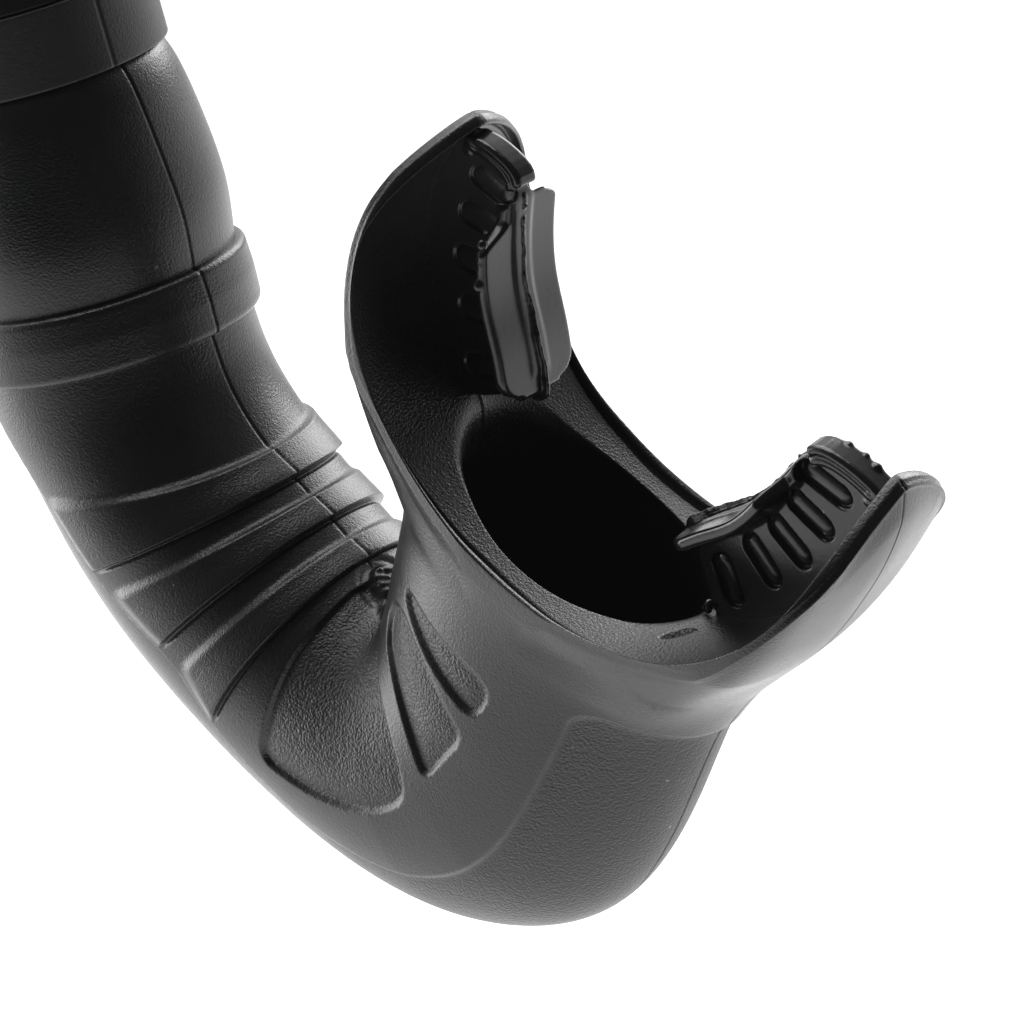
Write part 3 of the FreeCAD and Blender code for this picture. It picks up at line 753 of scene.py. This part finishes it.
def softened(node, body, voxel=0.3):
    """A CAD node's shape with the rounded edges of a moulded piece."""
    copy = bpy.data.objects.new(node + "_moulded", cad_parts[node].data.copy())
    bpy.context.scene.collection.objects.link(copy)
    remesh = copy.modifiers.new("remesh", "REMESH")
    remesh.mode, remesh.voxel_size = "VOXEL", voxel * MM
    ease = copy.modifiers.new("ease", "SMOOTH")
    ease.factor, ease.iterations = 0.5, 6
    bpy.context.view_layer.update()
    shaped = bpy.data.meshes.new_from_object(copy.evaluated_get(bpy.context.evaluated_depsgraph_get()))
    copy.modifiers.clear()
    copy.data = shaped
    shaped.shade_smooth()
    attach(copy, body)
    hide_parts(node)
    return copy


# ---- materials

# How far a surface's roughness varies, and the faint even glow painted onto black rubber as painted light.
UNEVEN = 0.06
PAINTED_GLOW = 0.0022


def feed(tree, socket, value):
    """Set the socket to a value, or link it to another node's output."""
    if isinstance(value, bpy.types.NodeSocket):
        tree.links.new(value, socket)
    else:
        socket.default_value = value


def node(tree, kind, **values):
    made = tree.nodes.new("ShaderNode" + kind)
    for key, value in values.items():
        if key in made.inputs:
            feed(tree, made.inputs[key], value)
        else:
            setattr(made, key, value)
    return made


def maths(tree, operation, *values, kind="Math", output="Value"):
    made = node(tree, kind, operation=operation)
    for socket, value in zip(made.inputs, values):
        feed(tree, socket, value)
    return made.outputs[output]


def ranged(tree, value, source, target=(0.0, 1.0), **settings):
    """The value carried from the source range into the target range."""
    made = node(tree, "MapRange", Value=value, **settings)
    made.inputs["From Min"].default_value, made.inputs["From Max"].default_value = source
    made.inputs["To Min"].default_value, made.inputs["To Max"].default_value = target
    return made.outputs["Result"]


def mixed_colour(tree, share, first, second):
    made = node(tree, "MixRGB", blend_type="MIX", Fac=share, Color1=first, Color2=second)
    return made.outputs["Color"]


def leather_grain(tree, place, mark, normal):
    """The surface's bumps with leather cells added where the mark says."""
    warp = node(tree, "TexNoise", Scale=1800.0, Detail=2.0, Vector=place).outputs["Color"]
    shifted = maths(tree, "MULTIPLY_ADD", warp, (0.00028, 0.00028, 0.00028), place,
                    kind="VectorMath", output="Vector")
    cells = node(tree, "TexVoronoi", feature="SMOOTH_F1", Scale=3300.0, Smoothness=0.6, Vector=shifted)
    amount = maths(tree, "MULTIPLY", cells.outputs["Distance"], mark)
    hide = node(tree, "Bump", Strength=0.75, Distance=0.00012, invert=True, Height=amount, Normal=normal)
    return hide.outputs["Normal"]


def dusted(tree, place, tone):
    """The colour with a few pale specks of dust, in patches."""
    dots = node(tree, "TexVoronoi", feature="F1", Scale=330.0, Vector=place).outputs["Distance"]
    patches = node(tree, "TexNoise", Scale=90.0, Detail=1.0, Vector=place).outputs["Fac"]
    specks = maths(tree, "MULTIPLY", ranged(tree, dots, (0.075, 0.04)), ranged(tree, patches, (0.62, 0.68)))
    return mixed_colour(tree, specks, tone, (0.25, 0.25, 0.25, 1))


def moulded_material(name, colour, roughness, grain_scale, grain_height, leather=False, specks=True):
    """Rubber or plastic with a fine surface, uneven gloss, dust specks, on the panels leather grain and
    painted shade in the marked grooves, and a faint painted glow.
    """
    material = bpy.data.materials.new(name)
    material.use_nodes = True
    tree = material.node_tree
    shader = tree.nodes["Principled BSDF"]
    place = node(tree, "TexCoord").outputs["Object"]

    cloud = node(tree, "TexNoise", Scale=55.0, Detail=3.0, Vector=place).outputs["Fac"]
    fine = node(tree, "TexNoise", Scale=grain_scale, Detail=2.0, Roughness=0.6, Vector=place).outputs["Fac"]
    rough = ranged(tree, cloud, (0.3, 0.7), (roughness - UNEVEN, roughness + UNEVEN))
    paler = [min(1, c * 1.5 + 0.002) for c in colour]
    tone = mixed_colour(tree, cloud, (*colour, 1), (*paler, 1))
    normal = node(tree, "Bump", Strength=grain_height, Distance=0.0002, Height=fine).outputs["Normal"]
    if leather:
        mark = node(tree, "Attribute", attribute_name="grain").outputs["Fac"]
        normal = leather_grain(tree, place, mark, normal)
        rough = maths(tree, "MULTIPLY_ADD", mark, 0.10, rough)
        # painted shade: the parting-line grooves and the nick are darkened to near black
        painted_shade_mark = node(tree, "Attribute", attribute_name="painted_shade").outputs["Fac"]
        tone = mixed_colour(tree, painted_shade_mark, tone, (0.001, 0.001, 0.001, 1))
    if specks:
        tone = dusted(tree, place, tone)
    feed(tree, shader.inputs["Base Color"], tone)
    feed(tree, shader.inputs["Roughness"], rough)
    feed(tree, shader.inputs["Normal"], normal)
    # painted light: every surface emits a faint white glow
    shader.inputs["Emission Color"].default_value = (1, 1, 1, 1)
    shader.inputs["Emission Strength"].default_value = PAINTED_GLOW
    return material


# ---- the object

soft_skin()
bite_tabs()
turned_pieces()
softened("keeper_ring", "ring")
softened("keeper_pin", "ring", 0.2)
softened("keeper_clip", "clip")

FINISHES = {
    "soft_moulding": moulded_material("satin_rubber", (0.0068, 0.0068, 0.0072), 0.29, 3600.0, 0.34,
                                      leather=True),
    "bite": moulded_material("glossy_rubber", (0.0062, 0.0062, 0.0066), 0.22, 1800.0, 0.08),
    "collar": moulded_material("matte_rubber", (0.009, 0.009, 0.0095), 0.46, 3200.0, 0.3),
    "barrel": moulded_material("barrel_plastic", (0.005, 0.005, 0.0055), 0.24, 1500.0, 0.05),
    "keeper": moulded_material("keeper_plastic", (0.012, 0.012, 0.013), 0.34, 2200.0, 0.16),
    "guard": moulded_material("signal_rubber", (0.72, 0.13, 0.012), 0.44, 2600.0, 0.2, specks=False),
}
WEARS = {
    "soft_moulding": "soft_moulding", "bite_tab_outer_moulded": "bite", "bite_tab_inner_moulded": "bite",
    "lock_collar_moulded": "collar", "barrel_tube_moulded": "barrel", "tip_guard_moulded": "guard",
    "keeper_sleeve_moulded": "soft_moulding", "keeper_ring_moulded": "keeper", "keeper_pin_moulded": "keeper",
    "keeper_clip_moulded": "keeper",
}
for piece_name, finish in WEARS.items():
    piece = bpy.data.objects[piece_name]
    piece.data.materials.clear()
    piece.data.materials.append(FINISHES[finish])


# ---- floor, light and camera

# How far below the object the floor lies, in metres.
FLOOR_GAP = 0.16


def towards_front(tree, point, direction):
    """How far a point lies in a direction from the middle of the scene."""
    return maths(tree, "DOT_PRODUCT", point, direction, kind="VectorMath")


def pale_floor_material():
    """Pale to the camera, and darker in front for the light that it sends on to the object."""
    material = bpy.data.materials.new("pale_floor")
    material.use_nodes = True
    tree = material.node_tree
    shader = tree.nodes["Principled BSDF"]
    noise = node(tree, "TexNoise", Scale=1.5, Detail=2.0).outputs["Fac"]
    feed(tree, shader.inputs["Base Color"],
         mixed_colour(tree, noise, (0.80, 0.80, 0.80, 1), (0.84, 0.84, 0.84, 1)))
    shader.inputs["Roughness"].default_value = 0.9
    shader.inputs["Specular IOR Level"].default_value = 0.1
    shader.inputs["Emission Color"].default_value = (1, 1, 1, 1)
    shader.inputs["Emission Strength"].default_value = 0.30
    spot = node(tree, "NewGeometry").outputs["Position"]
    front = ranged(tree, towards_front(tree, spot, (0.80, -0.56, 0.0)), (0.05, 0.7),
                   interpolation_type="SMOOTHSTEP")
    unseen = maths(tree, "SUBTRACT", 1.0, node(tree, "LightPath").outputs["Is Camera Ray"])
    shade = node(tree, "BsdfDiffuse", Color=(0.03, 0.03, 0.03, 1))
    mixed = node(tree, "MixShader", Fac=maths(tree, "MULTIPLY", unseen, front))
    tree.links.new(shader.outputs["BSDF"], mixed.inputs[1])
    tree.links.new(shade.outputs["BSDF"], mixed.inputs[2])
    tree.links.new(mixed.outputs["Shader"], tree.nodes["Material Output"].inputs["Surface"])
    return material


def floor():
    low, _ = cad_box
    bpy.ops.mesh.primitive_circle_add(vertices=96, radius=9.0, fill_type="NGON",
                                      location=(0, 0, low[2] - FLOOR_GAP))
    disc = bpy.context.active_object
    disc.name = "floor"
    disc.data.materials.append(pale_floor_material())


def surroundings():
    """Soft light from all round that fades towards the side the camera stands on at rest."""
    world = bpy.data.worlds.new("studio")
    bpy.context.scene.world = world
    world.use_nodes = True
    tree = world.node_tree
    background = tree.nodes["Background"]
    place = node(tree, "TexCoord").outputs["Generated"]
    facing = towards_front(tree, place, Vector((0.80, -0.56, 0.22)).normalized())
    fade = ranged(tree, facing, (-0.6, 0.55), (1.25, 0.04), interpolation_type="SMOOTHSTEP")
    either = node(tree, "Mix", data_type="FLOAT")
    feed(tree, either.inputs[0], node(tree, "LightPath").outputs["Is Camera Ray"])
    feed(tree, either.inputs[2], fade)
    feed(tree, either.inputs[3], 0.95)
    feed(tree, background.inputs["Strength"], either.outputs[0])
    background.inputs["Color"].default_value = (1, 1, 1, 1)


def lamps():
    target = Vector((0.03, 0.0, -0.03))
    for name, place, size, power in (("top_softbox", (-0.25, 0.15, 1.1), 1.1, 16.0),
                                     ("left_softbox", (-1.1, -0.35, 0.15), 0.8, 9.0),
                                     ("right_softbox", (-0.05, 1.2, 0.45), 0.8, 10.0)):
        light = bpy.data.lights.new(name, "AREA")
        light.shape, light.size, light.energy = "SQUARE", size, power
        lamp = bpy.data.objects.new(name, light)
        lamp.location = place
        lamp.rotation_euler = (target - Vector(place)).to_track_quat("-Z", "Y").to_euler()
        bpy.context.scene.collection.objects.link(lamp)


def camera():
    view = bpy.data.cameras.new("camera")
    view.sensor_width, view.lens = 36.0, 202.1
    view.clip_start, view.clip_end = 0.05, 50.0
    holder = bpy.data.objects.new("camera", view)
    right = Vector((0.71804304, 0.64678721, -0.25706125))
    up = Vector((-0.01204072, 0.38083007, 0.92456665))
    back = Vector((0.69589454, -0.66078345, 0.28124016))
    turn = Matrix((right, up, back)).transposed().to_4x4()
    holder.matrix_world = Matrix.Translation(Vector((0.466518, -0.392681, 0.116236))) @ turn
    bpy.context.scene.collection.objects.link(holder)
    bpy.context.scene.camera = holder


floor()
surroundings()
lamps()
camera()
bpy.context.scene.view_settings.view_transform = "Standard"
